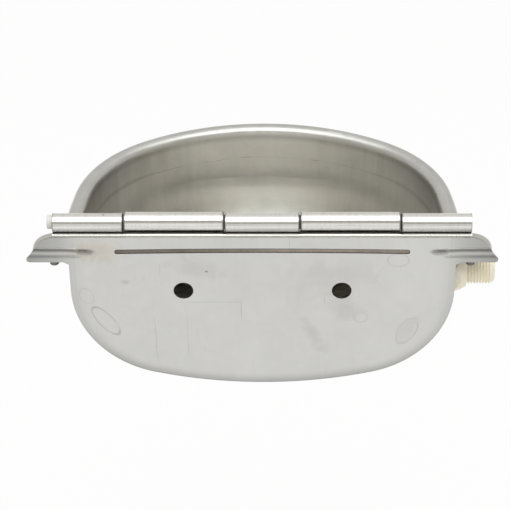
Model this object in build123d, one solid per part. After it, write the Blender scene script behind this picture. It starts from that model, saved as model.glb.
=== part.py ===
from build123d import *
from math import asin, atan2, cos, hypot, pi, radians, sin, sqrt
import os

# Wall-hung livestock drinking bowl in stainless sheet, with a hinged cover over a float valve.
# Origin: midway between the two wall holes, on the outer face of the back plate.
# +X towards the water inlet, +Y away from the wall, +Z up. All sizes in millimetres.

# Wall fixing
hole_spacing = 96.0
hole_diameter = 12.0
hole_drop = 30.0                # rim plane above the hole centres

# Bowl: plan of the outer edge of the rim, made of side, corner and front arcs
bowl_sheet = 1.0
rim_half = 122.0                # half width at side_arc_y
side_arc_y = 10.0
side_arc_r = 400.0
corner_arc_r = 86.0
front_arc_r = 147.0
rim_reach = 150.0               # wall plane to the front of the rim
rim_width = 10.2                # inner wall face to the outer lip
rim_roll_r = 4.6
rim_inner_r = 3.3               # inside of the roll, where the sheet has thinned
rim_depth = 8.0

# Back plate: elevation of its folded edge, made of side lines, corner arcs and a bottom arc
plate_sheet = 1.0
seam_overhang = 3.7             # plate edge outside the bowl's wall
plate_corner_r = 64.5
plate_crown_r = 280.0
plate_drop = 101.8              # rim plane down to the lowest point of the fold
plate_rise = 8.8                # rim plane up to the plate's top edge
hem_width = 3.5
hem_gap = 0.1
hem_top_drop = 10.5
hem_round = 1.35

# Ears: upright tabs of the plate, with a hollow bead and a level tongue below the bowl's lugs
tab_slope = 56.0
tab_corner_out = 9.2            # ear's upper corner outside the rim's half width
tab_corner_r = 14.5
tab_toe_r = 2.0
tab_drop = 9.0
tab_root_r = 4.0
bead_height = 7.5
bead_stand = 1.5
bead_drop = 2.25                # rim plane down to the bead's middle
bead_start_in = 10.5            # bead's inner end inside the rim's half width
tail_height = 3.4
tail_stand = 0.7
tail_length = 6.0               # tail's visible length beyond the bead
lug_out = 4.0                   # lug's centre outside the rim's half width
lug_y = 9.0
lug_r = 12.3
lug_blend_r = 3.0
lug_depth = 5.0                 # lug's lip is shallower than the rim's
tongue_r = 10.5
tongue_play = 0.3
stud_diameter = 6.0
stud_length = 15.2
stud_collar_r = 4.2
stud_collar_height = 0.8
nut_across_flats = 10.0
nut_height = 3.2
nut_play = 0.05
washer_r = 6.0
washer_height = 1.0
washer_play = 0.2

# Seam weld that joins the plate to the hinge leaf
weld_half = 87.0
weld_height = 3.2
weld_sag = 0.9
weld_drop = 0.9                 # rim plane down to the middle of the weld's arch
weld_sink = 0.15

# Hinge
hinge_overhang = 3.0            # hinge past the rim's half width at each end
end_knuckle = 42.5
cover_knuckle = 60.0
knuckle_gap = 0.9
tube_diameter = 11.2
tube_sheet = 0.6
tube_wall_clear = 0.2           # wall plane to the back of the tubes
leaf_sheet = 1.0
leaf_rise = 10.3                # rim plane up to the leaf's top face
leaf_tail = 6.0                 # leaf below the rim plane, behind the seam weld
leaf_side_clear = 3.8           # bowl's inner wall to the leaf's lower part
leaf_bend_r = 1.0
leaf_rim_clear = 0.4
pin_diameter = 8.5
pin_stand = 3.0
pin_inset = 1.0
knuckle_lift = 0.6              # cover tubes sit this far up and forward, from play on the pin
tack_length = 7.0
tack_width = 3.2

# Cover
cover_sheet = 1.0
cover_slope = 48.0
cover_length = 76.0
cover_skirt = 44.0              # apron below the slope, which shuts the valve's space off
cover_bend_r = 3.0
cover_side_clear = 5.8          # bowl's inner wall to the cover's side, at rest and as the knee swings out
cover_foot_r = 42.0             # apron's lower corners follow the bowl's heel
cover_notch = 14.0
cover_notch_clear = 1.5
cover_rest_gap = 0.3

# Water inlet and valve
valve_y = 25.0
valve_z = 0.0
thread_diameter = 20.955
spigot_stand = 27.7             # locknut's seat to the end of the thread
thread_chamfer = 1.3
shank_relief = 0.18             # spigot thinner than its thread, inside the locknut and the wall
shank_past_nut = 0.3
inlet_bore = 12.0
wall_hole_clear = 0.25
seal_washer = 2.0
seal_washer_r = 13.5
locknut_across_flats = 28.0
locknut_height = 10.2
locknut_taper = 4.0
thread_play = 0.08
valve_flange_r = 13.5
valve_flange = 3.2
chamber_r = 11.0
chamber_length = 14.0
chamber_bore_r = 7.0
guide_r = 7.0
guide_length = 8.0
port_width = 7.0
port_height = 8.0
seat_length = 5.0
seat_bore_r = 2.2
seat_lip_r = 3.4
seat_lip = 1.2
plunger_r = 4.3
plunger_play = 0.08
plunger_head_r = 6.2
plunger_head = 4.0
plunger_seal = 2.4
plunger_seal_r = 5.4
plunger_stand = 3.2             # plunger out of its guide with the valve open
shut_gap = 0.12

# Float and its arm
lever_length = 8.0              # pivot up to the plunger's axis
float_droop = 20.0              # arm below level with the bowl empty
lever_nose_r = 2.0
lever_web = 1.0                 # lever's neck in front of the pivot
lever_gap = 0.1
stop_tail = 9.0                 # heel behind the pivot that meets the guide when the arm hangs
stop_gap = 0.3
stop_height = 3.4
pivot_diameter = 3.0
pivot_play = 0.06
arm_hub_r = 4.2
arm_hub_width = 8.6
arm_height = 4.4
arm_width = 6.4
cheek_play = 0.3
cheek_sheet = 2.6
cheek_r = 5.0
arm_length = 46.0
arm_stud_r = 2.5
arm_stud = 11.0
float_r = 17.0
float_length = 62.0
float_end_r = 11.0
float_boss_r = 6.0
float_boss = 5.0
float_nut_flats = 9.0
float_nut_height = 3.4
pivot_head_r = 2.8
pivot_head = 1.2

# Worked out from the sizes above
rim_z = hole_drop
tab_corner_x = rim_half + tab_corner_out
bead_start_x = rim_half - bead_start_in
lug_x = rim_half + lug_out
hinge_length = 2 * (rim_half + hinge_overhang)
leaf_half_low = rim_half - rim_width - leaf_side_clear
cover_half_top = rim_half - rim_width - cover_side_clear
wall_outer_inset = rim_width - bowl_sheet
plate_half = rim_half - wall_outer_inset + seam_overhang
heel_r = plate_corner_r - seam_overhang
bowl_crown_r = plate_crown_r - seam_overhang
bowl_drop = plate_drop - seam_overhang
tube_r = tube_diameter / 2
tube_bore_r = tube_r - tube_sheet
fixed_axis_y = tube_r + tube_wall_clear
fixed_axis_z = rim_z + leaf_rise + tube_r
pin_y = fixed_axis_y + knuckle_lift / 2
pin_z = fixed_axis_z + knuckle_lift / 2
cover_axis_y = fixed_axis_y + knuckle_lift
cover_axis_z = fixed_axis_z + knuckle_lift
middle_knuckle = hinge_length - 2 * end_knuckle - 2 * cover_knuckle
tongue_top = rim_z - lug_depth
tongue_bottom = tongue_top - plate_sheet
lever_turn = radians(float_droop)
plunger_travel = lever_length * lever_turn


# ---------------------------------------------------------------- outlines

def arc_edge(centre, radius, start, end, z):
    """Level arc about a centre, from one angle to another."""
    angles = (start, (start + end) / 2, end)
    points = [(centre[0] + radius * cos(a), centre[1] + radius * sin(a), z) for a in angles]
    return Edge.make_three_point_arc(*points), points[0], points[2]


def corner_centre():
    """Centre of the corner arc that is tangent inside both the side arc and the front arc."""
    side = (rim_half - side_arc_r, side_arc_y)
    front = (0.0, rim_reach - front_arc_r)
    to_side = side_arc_r - corner_arc_r
    to_front = front_arc_r - corner_arc_r
    dx, dy = front[0] - side[0], front[1] - side[1]
    span = hypot(dx, dy)
    along = (to_side ** 2 - to_front ** 2 + span ** 2) / (2 * span)
    off = sqrt(to_side ** 2 - along ** 2)
    return side[0] + (along * dx - off * dy) / span, side[1] + (along * dy + off * dx) / span


def plan_face(inset, back_y, z):
    """Bowl's plan at an inset from the outer edge of the rim, closed by a line at back_y."""
    side = (rim_half - side_arc_r, side_arc_y)
    front = (0.0, rim_reach - front_arc_r)
    corner = corner_centre()
    a_back = asin((back_y - side_arc_y) / (side_arc_r - inset))
    a_side = atan2(corner[1] - side[1], corner[0] - side[0])
    a_front = atan2(corner[1] - front[1], corner[0] - front[0])
    right_side, first, _ = arc_edge(side, side_arc_r - inset, a_back, a_side, z)
    right_corner, _, _ = arc_edge(corner, corner_arc_r - inset, a_side, a_front, z)
    nose, _, _ = arc_edge(front, front_arc_r - inset, a_front, pi - a_front, z)
    left_corner, _, _ = arc_edge((-corner[0], corner[1]), corner_arc_r - inset, pi - a_front, pi - a_side, z)
    left_side, _, last = arc_edge((-side[0], side[1]), side_arc_r - inset, pi - a_side, pi - a_back, z)
    back = Edge.make_line(last, first)
    return Face(Wire([right_side, right_corner, nose, left_corner, left_side, back]))


def wall_x(inset, y):
    """X of the bowl's side wall at an inset from the rim's outer edge."""
    corner = corner_centre()
    a_side = atan2(corner[1] - side_arc_y, corner[0] - rim_half + side_arc_r)
    if y > side_arc_y + (side_arc_r - inset) * sin(a_side):
        return corner[0] + sqrt((corner_arc_r - inset) ** 2 - (y - corner[1]) ** 2)
    return rim_half - side_arc_r + sqrt((side_arc_r - inset) ** 2 - (y - side_arc_y) ** 2)


def plate_outline(inset, top):
    """Back plate's elevation at an inset from its folded edge, as a sketch with x across and y up."""
    half = plate_half - inset
    crown = rim_z - plate_drop + plate_crown_r
    corner_x = plate_half - plate_corner_r
    corner_z = crown - sqrt((plate_crown_r - plate_corner_r) ** 2 - corner_x ** 2)
    tilt = atan2(corner_x, crown - corner_z)
    r_corner = plate_corner_r - inset
    r_crown = plate_crown_r - inset
    toe = (r_crown * sin(tilt), crown - r_crown * cos(tilt))
    turn = (pi / 2 - tilt) / 2
    middle = (corner_x + r_corner * cos(turn), corner_z - r_corner * sin(turn))
    edges = [
        Line((half, top), (half, corner_z)),
        ThreePointArc((half, corner_z), middle, toe),
        ThreePointArc(toe, (0, crown - r_crown), (-toe[0], toe[1])),
        ThreePointArc((-toe[0], toe[1]), (-middle[0], middle[1]), (-half, corner_z)),
        Line((-half, corner_z), (-half, top)),
        Line((-half, top), (half, top)),
    ]
    return make_face(Curve() + edges)


def prism_y(sketch, y0, y1):
    """Extrude an elevation sketch from y0 to y1."""
    return Pos(0, y0, 0) * extrude(Plane.XZ * sketch, amount=-(y1 - y0))


def prism_x(sketch, x0, x1):
    """Extrude a side-view sketch, with x as Y and y as Z, from x0 to x1."""
    return Pos(x0, 0, 0) * extrude(Plane.YZ * sketch, amount=x1 - x0)


def slab(x0, x1, y0, y1, z0, z1):
    return Pos((x0 + x1) / 2, (y0 + y1) / 2, (z0 + z1) / 2) * Box(x1 - x0, y1 - y0, z1 - z0)


def rod_x(radius, x0, x1, y=0.0, z=0.0):
    return Pos((x0 + x1) / 2, y, z) * Rot(0, 90, 0) * Cylinder(radius, x1 - x0)


def rod_y(radius, y0, y1, x=0.0, z=0.0):
    return Pos(x, (y0 + y1) / 2, z) * Rot(90, 0, 0) * Cylinder(radius, y1 - y0)


def rod_z(radius, z0, z1, x=0.0, y=0.0):
    return Pos(x, y, (z0 + z1) / 2) * Cylinder(radius, z1 - z0)


def hexagon_x(flats, x0, x1):
    """Hexagonal bar along X with a flat at its bottom."""
    return prism_x(RegularPolygon(flats / sqrt(3), 6, rotation=30), x0, x1)


def bent_strip(points, bend_r, sheet):
    """Section of a bent sheet whose left face follows the points; bends have an inner radius."""
    shifted = []
    for i, point in enumerate(points):
        dirs = []
        if i > 0:
            dirs.append((Vector(*point) - Vector(*points[i - 1])).normalized())
        if i < len(points) - 1:
            dirs.append((Vector(*points[i + 1]) - Vector(*point)).normalized())
        normals = [Vector(d.Y, -d.X) for d in dirs]
        mitre = (normals[0] + normals[-1]).normalized()
        shifted.append(Vector(*point) + mitre * (sheet / mitre.dot(normals[0])))
    section = make_face(Polyline(*points, *reversed(shifted), close=True))
    for i in range(1, len(points) - 1):
        face_side = Vector(*points[i])
        turn = (face_side - Vector(*points[i - 1])).cross(Vector(*points[i + 1]) - face_side).Z
        for spot, radius in ((face_side, bend_r + sheet * (turn < 0)), (shifted[i], bend_r + sheet * (turn > 0))):
            corner = section.vertices().sort_by_distance(spot)[0]
            section = fillet(corner, radius)
    return section


# ---------------------------------------------------------------- bowl and back plate

def bowl_form(inset, back_y, top):
    """Solid scoop: the plan taken down to an arched floor, with a large heel radius between them."""
    deeper = inset - wall_outer_inset
    body = extrude(plan_face(inset, back_y, top), amount=top + 2 * plate_drop, dir=(0, 0, -1))
    crown = rim_z - bowl_drop + bowl_crown_r
    floor = rod_y(bowl_crown_r - deeper, -rim_reach, 2 * rim_reach, z=crown)
    above = slab(-2 * rim_half, 2 * rim_half, -rim_reach, 2 * rim_reach, rim_z - bowl_drop / 2, top + 1)
    body = body & (floor + above)
    lowest = body.faces().sort_by(Axis.Z)[0]
    heel = [e for e in lowest.edges() if e.center().Y > back_y + 1]
    return body.fillet(heel_r - deeper, heel)


def rim_contour(inset):
    """Rim's outer edge with the round lug at each back corner."""
    face = Sketch() + plan_face(inset, plate_sheet, 0)
    for side in (-1, 1):
        disc = Pos(side * lug_x, lug_y) * Circle(lug_r - inset)
        face = face + (disc - Pos(0, -rim_half + plate_sheet) * Rectangle(4 * rim_half, 2 * rim_half))
    notches = [v for v in face.vertices() if v.Y > lug_y and abs(v.X) > lug_x - lug_r
               and hypot(abs(v.X) - lug_x, v.Y - lug_y) < lug_r - inset + 0.01]
    return fillet(notches, lug_blend_r + inset)


def rolled_block(inset, z0, z1, roll_r):
    """Rim contour as a block with its outer top edge rounded."""
    block = Pos(0, 0, z0) * extrude(rim_contour(inset), amount=z1 - z0)
    top = block.faces().sort_by(Axis.Z)[-1]
    return block.fillet(roll_r, [e for e in top.edges() if e.center().Y > plate_sheet + 0.1])


def bowl_body():
    outer = bowl_form(wall_outer_inset, plate_sheet, rim_z)
    inner = bowl_form(rim_width, 0.0, rim_z)
    rim = rolled_block(0, rim_z - rim_depth, rim_z, rim_roll_r) - below_lugs()
    hollow = rolled_block(bowl_sheet, rim_z - rim_depth - 1, rim_z - bowl_sheet, rim_inner_r) - outer
    under_roof = hollow.faces().sort_by(Axis.Z)[-1]
    wall_radii = [r - wall_outer_inset for r in (side_arc_r, corner_arc_r, front_arc_r)]
    hollow = hollow.fillet(rim_inner_r, arcs_with(under_roof, wall_radii))
    flange = prism_y(plate_outline(plate_sheet + hem_gap, rim_z - rim_depth), plate_sheet, plate_sheet + bowl_sheet)
    body = outer + rim + flange - inner - hollow
    mouth_radii = [r - rim_width for r in (side_arc_r, corner_arc_r, front_arc_r)]
    body = body.fillet(rim_roll_r, arcs_with(body.faces().sort_by(Axis.Z)[-1], mouth_radii))
    hole = rod_x(thread_diameter / 2 + wall_hole_clear, rim_half - 30, rim_half, valve_y, valve_z)
    return body - hole


def below_lugs():
    """What the lugs' lips lack below their own depth."""
    outside = rim_contour(0) - plan_face(0, plate_sheet, 0)
    return Pos(0, 0, rim_z - rim_depth - 1) * extrude(outside, amount=rim_depth + 1 - lug_depth)


def arcs_with(face, radii):
    """Circular edges of a face whose radius is one of those given."""
    arcs = [e for e in face.edges() if e.geom_type == GeomType.CIRCLE]
    return [e for e in arcs if min(abs(e.radius - r) for r in radii) < 0.01]


def tab_outline():
    """Elevation of the upright ears, with a rounded shoulder and toe."""
    toe_x = tab_corner_x + (plate_rise + tab_drop) / (sin(radians(tab_slope)) / cos(radians(tab_slope)))
    top, bottom = rim_z + plate_rise, rim_z - tab_drop
    root = bead_start_x / 2
    ears = Sketch()
    for side in (-1, 1):
        points = [(root, top), (tab_corner_x, top), (toe_x, bottom), (root, bottom)]
        ear = make_face(Polyline(*[(side * x, z) for x, z in points], close=True))
        ear = fillet(ear.vertices().sort_by_distance((side * tab_corner_x, top))[0], tab_corner_r)
        ear = fillet(ear.vertices().sort_by_distance((side * toe_x, bottom))[0], tab_toe_r)
        ears = ears + ear
    return ears


def ridge(height, stand, shrink, start_x):
    """Rounded bar inside the right ear; its face, less shrink, shows this height and stands out this far."""
    face_r = (height ** 2 / 4 + stand ** 2) / (2 * stand)
    y = face_r - stand
    z = rim_z - bead_drop
    radius = face_r - shrink
    bar = rod_x(radius, start_x, 2 * rim_half, y, z) + Pos(start_x, y, z) * Sphere(radius)
    return bar - slab(0, 3 * rim_half, plate_sheet, rim_half, -rim_half, rim_half)


def weld_track(height):
    """Long slot, slightly arched, that the seam weld fills."""
    radius = weld_half ** 2 / (2 * weld_sag) + weld_sag / 2
    half_turn = asin(weld_half / radius) * 180 / pi
    top = rim_z - weld_drop + weld_sag / 2
    spine = CenterArc((0, top - radius), radius, 90 - half_turn, 2 * half_turn)
    return SlotArc(spine, height)


def back_plate():
    top = rim_z + plate_rise
    outline = plate_outline(0, top) + tab_outline()
    roots = [v for v in outline.vertices() if abs(abs(v.X) - plate_half) < 0.01 and v.Y < rim_z]
    outline = fillet([v for v in roots if abs(v.Y - rim_z + tab_drop) < 0.01], tab_root_r)
    sheet = prism_y(outline, 0, plate_sheet)
    tail_start_x = bead_start_x - (bead_height - tail_height) / 2 - tail_length
    beads = ridge(bead_height, bead_stand, 0, bead_start_x) + ridge(tail_height, tail_stand, 0, tail_start_x)
    ears = prism_y(outline, -bead_stand, plate_sheet)
    sheet = sheet + (ears & (beads + mirror(beads, Plane.YZ)))
    groove = ridge(bead_height, bead_stand, plate_sheet, bead_start_x)
    sheet = sheet - groove - mirror(groove, Plane.YZ)
    fold = 2 * plate_sheet + bowl_sheet
    hem = prism_y(plate_outline(0, rim_z), 0, fold)
    edges = [e for e in hem.edges() if e.center().Z < rim_z - 1 and (e.center().Y < 0.01 or e.center().Y > fold - 0.01)]
    hem = hem.fillet(hem_round, edges)
    hem = hem - prism_y(plate_outline(hem_width, 2 * rim_z), plate_sheet, fold)
    hem = hem - prism_y(plate_outline(plate_sheet, 2 * rim_z), plate_sheet, plate_sheet + bowl_sheet + hem_gap / 2)
    below = slab(-2 * rim_half, 2 * rim_half, -rim_half, rim_half, -2 * plate_drop, rim_z - hem_top_drop)
    plate = (sheet - below) + (hem & below) + tongues()
    for side in (-1, 1):
        plate = plate - rod_y(hole_diameter / 2, -10, 10, side * hole_spacing / 2)
    return plate - prism_y(weld_track(weld_height), -1, plate_sheet + 1)


def tongues():
    """Level leaves at the foot of the ears, bored for the studs."""
    pair = Part()
    for side in (-1, 1):
        root = Pos(side * lug_x, lug_y / 2) * Rectangle(2 * tongue_r - 2, lug_y)
        wall_side = Pos(side * lug_x, -rim_half) * Rectangle(2 * rim_half, 2 * rim_half)
        leaf = root + (Pos(side * lug_x, lug_y) * Circle(tongue_r) - wall_side)
        leaf = leaf - Pos(side * lug_x, lug_y) * Circle(stud_diameter / 2 + tongue_play)
        pair = pair + Pos(0, 0, tongue_bottom) * extrude(leaf, amount=plate_sheet)
    return pair


def seam_weld():
    return prism_y(weld_track(weld_height), weld_sink, plate_sheet)


# ---------------------------------------------------------------- ear studs

def on_lugs(piece):
    """One copy of a piece at each lug."""
    return Compound([Pos(side * lug_x, lug_y, 0) * piece for side in (-1, 1)])


def ear_studs():
    roof = rim_z - bowl_sheet
    stud = rod_z(stud_diameter / 2, roof - stud_length, roof)
    stud = stud.fillet(1.2, [stud.edges().sort_by(Axis.Z)[0]])
    return on_lugs(stud + rod_z(stud_collar_r, roof - stud_collar_height, roof))


def ear_washers():
    ring = rod_z(washer_r, tongue_bottom - washer_height, tongue_bottom)
    return on_lugs(ring - rod_z(stud_diameter / 2 + washer_play, tongue_bottom - 9, tongue_bottom + 1))


def ear_nuts():
    top = tongue_bottom - washer_height
    hexagon = extrude(RegularPolygon(nut_across_flats / sqrt(3), 6), amount=nut_height)
    crown = Cone(nut_across_flats / 2 - 0.2, nut_across_flats / 2 + 3, nut_height * 2.2)
    hexagon = hexagon & (Pos(0, 0, nut_height * 1.1) * crown)
    nut = Pos(0, 0, top - nut_height) * hexagon
    return on_lugs(nut - rod_z(stud_diameter / 2 + nut_play, top - 9, top + 1))


# ---------------------------------------------------------------- hinge

def knuckle_spans():
    """Start and end of the five tubes from left to right, with half a gap taken from each joint."""
    spans = []
    x = -hinge_length / 2
    for length in (end_knuckle, cover_knuckle, middle_knuckle, cover_knuckle, end_knuckle):
        spans.append((x + knuckle_gap / 2, x + length - knuckle_gap / 2))
        x = x + length
    return spans


def tube(span, y, z):
    outer = rod_x(tube_r, span[0], span[1], y, z)
    return outer - rod_x(tube_bore_r, span[0] - 1, span[1] + 1, y, z)


def fixed_tube(index):
    return tube(knuckle_spans()[index], fixed_axis_y, fixed_axis_z)


def cover_tube(index):
    return tube(knuckle_spans()[index], cover_axis_y, cover_axis_z)


def slope_point(along, out):
    """Point in side view, measured down the cover from its knuckle and out from its slope."""
    a = radians(cover_slope)
    y = cover_axis_y + along * cos(a) + out * sin(a)
    z = cover_axis_z - along * sin(a) + out * cos(a)
    return y, z


def leaf_front():
    """How far the leaf reaches forward: its front edge is the stop that the cover rests on."""
    a = radians(cover_slope)
    drop = cover_axis_z - (rim_z + leaf_rise)
    return cover_axis_y + (tube_r - cover_sheet - cover_rest_gap + drop * cos(a)) / sin(a)


def hinge_leaf():
    z_top = rim_z + leaf_rise
    points = [(plate_sheet, rim_z - leaf_tail), (plate_sheet, z_top), (leaf_front(), z_top)]
    strip = prism_x(bent_strip(points, leaf_bend_r, leaf_sheet), -hinge_length / 2, hinge_length / 2)
    for side in (-1, 1):
        near, far = side * leaf_half_low, side * hinge_length
        strip = strip - slab(min(near, far), max(near, far), 0, 2 * leaf_front(), -rim_z, rim_z + leaf_rim_clear)
    return strip


def hinge_pin():
    pin = rod_x(pin_diameter / 2, -hinge_length / 2 - pin_stand, hinge_length / 2 - pin_inset, pin_y, pin_z)
    ends = [e for e in pin.edges() if e.geom_type == GeomType.CIRCLE]
    return pin.fillet(0.6, ends)


def tack(x0, x1):
    """Weld bead in the wedge between a fixed tube and the leaf, in front of the tube."""
    y = fixed_axis_y + tube_r - tack_width / 2 - 0.4
    z = rim_z + leaf_rise
    bead = slab(x0, x1, y - tack_width / 2, y + tack_width / 2, z, z + tack_width / 2)
    bead = bead & rod_x(tack_width / 2, x0, x1, y, z)
    return bead - rod_x(tube_r, x0 - 1, x1 + 1, fixed_axis_y, fixed_axis_z)


def knuckle_welds():
    spans = knuckle_spans()
    beads = []
    for index in (0, 2, 4):
        start, end = spans[index]
        beads.append(tack(start, start + tack_length))
        beads.append(tack(end - tack_length, end))
    return Compound(beads)


# ---------------------------------------------------------------- cover

def cover_section():
    """Sloping panel and upright apron, as one bent sheet in side view."""
    knee = slope_point(cover_length, tube_r)
    points = [slope_point(0, tube_r), knee, (knee[0], knee[1] - cover_skirt)]
    return bent_strip(points, cover_bend_r, cover_sheet)


def knee_half():
    """Half width at the knee, set by the bowl's mouth where the knee swings out through it."""
    knee = slope_point(cover_length, tube_r)
    reach = hypot(knee[0] - pin_y, knee[1] - pin_z)
    return wall_x(rim_width, pin_y + sqrt(reach ** 2 - (pin_z - rim_z) ** 2)) - cover_side_clear


def cover_panel():
    sheet = prism_x(cover_section(), -cover_half_top, cover_half_top)
    top_z = cover_axis_z + 2 * tube_r
    knee_z = slope_point(cover_length, tube_r)[1]
    half = [(cover_half_top, top_z), (knee_half(), knee_z), (knee_half(), knee_z - cover_skirt)]
    outline = make_face(Polyline(*half, *[(-x, z) for x, z in reversed(half)], close=True))
    lower = outline.vertices().group_by(Axis.Y)[0]
    sheet = sheet & prism_y(fillet(lower, cover_foot_r), -10, rim_reach)
    spans = knuckle_spans()
    for index in (0, 2, 4):
        start = spans[index][0] - cover_notch_clear
        end = spans[index][1] + cover_notch_clear
        sheet = sheet - rod_x(cover_notch, start, end, pin_y, pin_z)
    return sheet - rod_x(tube_r, -hinge_length, hinge_length, cover_axis_y, cover_axis_z)


# ---------------------------------------------------------------- valve

def valve_stations():
    """X of the valve's faces, working inwards from the bowl's wall."""
    inner_wall = wall_x(rim_width, valve_y + valve_flange_r)
    flange_face = inner_wall - seal_washer - heel_turn_in(valve_z - valve_flange_r, heel_r)
    seat_face = flange_face - valve_flange - seat_lip
    chamber_end = flange_face - valve_flange - chamber_length
    guide_end = chamber_end - guide_length
    return flange_face, seat_face, chamber_end, guide_end


def heel_turn_in(z, radius):
    """How far the bowl's heel has turned in at a height."""
    depth = max(0.0, plate_outline_corner_z() - z)
    return radius - sqrt(radius ** 2 - depth ** 2)


def plate_outline_corner_z():
    """Height where the plate's side lines and the bowl's walls meet their corner arcs."""
    crown = rim_z - plate_drop + plate_crown_r
    return crown - sqrt((plate_crown_r - plate_corner_r) ** 2 - (plate_half - plate_corner_r) ** 2)


def at_valve(piece):
    return Pos(0, valve_y, valve_z) * piece


def valve_body():
    flange_face, _, chamber_end, guide_end = valve_stations()
    thread_start_x = locknut_face() + locknut_height + shank_past_nut
    thread_end_x = locknut_face() + spigot_stand
    body = rod_x(thread_diameter / 2, thread_start_x, thread_end_x)
    body = body.chamfer(thread_chamfer, None, [body.edges().sort_by(Axis.X)[-1]])
    body = body + rod_x(thread_diameter / 2 - shank_relief, flange_face, thread_start_x)
    body = body + rod_x(valve_flange_r, flange_face - valve_flange, flange_face)
    body = body + rod_x(chamber_r, chamber_end, flange_face - valve_flange)
    body = body + rod_x(guide_r, guide_end, chamber_end)
    body = body + cheeks(guide_end, chamber_end)
    body = body - rod_x(inlet_bore / 2, flange_face - valve_flange, thread_end_x + 1)
    body = body - rod_x(chamber_bore_r, chamber_end + 2, flange_face - valve_flange)
    body = body - rod_x(plunger_r + plunger_play, guide_end - 1, chamber_end + 3)
    middle = (chamber_end + 2 + flange_face - valve_flange) / 2
    for turn in (0, 90):
        body = body - Pos(middle, 0, 0) * Rot(turn, 0, 0) * Box(port_width, port_height, 3 * chamber_r)
    return at_valve(body)


def cheeks(guide_end, chamber_end):
    """Two cheeks that carry the arm's pivot below the plunger."""
    pivot_x = nose_centre_x()
    half = arm_hub_width / 2 + cheek_play
    pair = Part()
    for side in (-1, 1):
        root_x = chamber_end
        points = [(pivot_x, -lever_length - cheek_r), (root_x, -chamber_r + 1), (root_x, 3), (pivot_x, -lever_length + cheek_r)]
        plate = make_face(Polyline(*points, close=True)) + Pos(pivot_x, -lever_length) * Circle(cheek_r)
        middle = side * (half + cheek_sheet / 2)
        pair = pair + prism_y(plate, middle - cheek_sheet / 2, middle + cheek_sheet / 2)
    return pair - rod_y(pivot_diameter / 2 + pivot_play, -2 * half, 2 * half, pivot_x, -lever_length)


def orifice_seat():
    flange_face, seat_face, _, _ = valve_stations()
    bore_start = flange_face - valve_flange
    seat = rod_x(inlet_bore / 2, bore_start, bore_start + seat_length) + rod_x(seat_lip_r, seat_face, bore_start)
    return at_valve(seat - rod_x(seat_bore_r, seat_face - 1, bore_start + seat_length + 1))


def inner_gasket():
    flange_face, _, _, _ = valve_stations()
    ring = rod_x(seal_washer_r, flange_face, rim_half) - rod_x(thread_diameter / 2 + wall_hole_clear, 0, 2 * rim_half)
    return at_valve(ring) & bowl_form(rim_width, 0.0, rim_z)


def locknut_face():
    """X of the outer washer's flat face, which the locknut is turned up against."""
    return wall_x(wall_outer_inset, side_arc_y) + seal_washer


def outer_washer():
    ring = rod_x(seal_washer_r, 0.9 * rim_half, locknut_face())
    ring = ring - rod_x(thread_diameter / 2 + wall_hole_clear, 0, 2 * rim_half)
    return at_valve(ring) - bowl_form(wall_outer_inset, plate_sheet, rim_z)


def inlet_locknut():
    start = locknut_face()
    nut = hexagon_x(locknut_across_flats, start, start + locknut_height)
    corner = locknut_across_flats / sqrt(3)
    far = start + locknut_height
    profile = Polyline((start, 0), (start, corner), (far - locknut_taper * 2, corner),
                       (far, corner - locknut_taper), (far, 0), close=True)
    nut = nut & revolve(make_face(profile), Axis.X)
    return at_valve(nut - rod_x(thread_diameter / 2 - shank_relief + thread_play, start - 1, far + 1))


def nose_centre_x():
    """X of the lever's nose, which stands straight above the pivot with the valve open."""
    _, _, _, guide_end = valve_stations()
    return guide_end - plunger_stand - lever_gap - lever_nose_r


def plunger_stations():
    """X of the seal's face, the head's back and the outer end, with the valve open."""
    _, seat_face, _, guide_end = valve_stations()
    seal_face = seat_face - shut_gap - plunger_travel
    head_back = seal_face - plunger_seal / 2 - plunger_head
    return seal_face, head_back, guide_end - plunger_stand


def plunger():
    seal_face, head_back, outer_end = plunger_stations()
    head_front = seal_face - plunger_seal / 2
    body = rod_x(plunger_head_r, head_back, head_front) + rod_x(plunger_r, outer_end, head_back)
    return at_valve(body - rod_x(plunger_seal_r, seal_face - plunger_seal, head_front + 1))


def plunger_disc():
    seal_face, _, _ = plunger_stations()
    return at_valve(rod_x(plunger_seal_r - 0.05, seal_face - plunger_seal, seal_face))


# ---------------------------------------------------------------- float

def pivot_point():
    return nose_centre_x(), valve_z - lever_length


def drooped(piece):
    """Turn a piece that was made level about the pivot down to the empty-bowl position."""
    x, z = pivot_point()
    return Pos(x, valve_y, z) * Rot(0, -float_droop, 0) * Pos(-x, -valve_y, -z) * piece


def float_arm():
    x, z = pivot_point()
    hub = rod_y(arm_hub_r, valve_y - arm_hub_width / 2, valve_y + arm_hub_width / 2, x, z)
    bar = slab(x - arm_length, x, valve_y - arm_width / 2, valve_y + arm_width / 2, z - arm_height / 2, z + arm_height / 2)
    stud = rod_x(arm_stud_r, x - arm_length - arm_stud, x - arm_length + 1, valve_y, z)
    nose = rod_y(lever_nose_r, valve_y - arm_width / 2, valve_y + arm_width / 2, x, valve_z)
    web = Polyline((x - arm_hub_r, z), (x + lever_web, z), (x + lever_web, valve_z),
                   (x - lever_nose_r, valve_z), close=True)
    web = prism_y(make_face(web), valve_y - arm_width / 2, valve_y + arm_width / 2)
    stop_top = valve_z - guide_r - stop_gap
    stop = slab(x, x + stop_tail, valve_y - arm_width / 2, valve_y + arm_width / 2, stop_top - stop_height, stop_top)
    arm = hub + drooped(bar + stud) + web + nose + stop
    return arm - rod_y(pivot_diameter / 2 + pivot_play, valve_y - arm_hub_width, valve_y + arm_hub_width, x, z)


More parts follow.
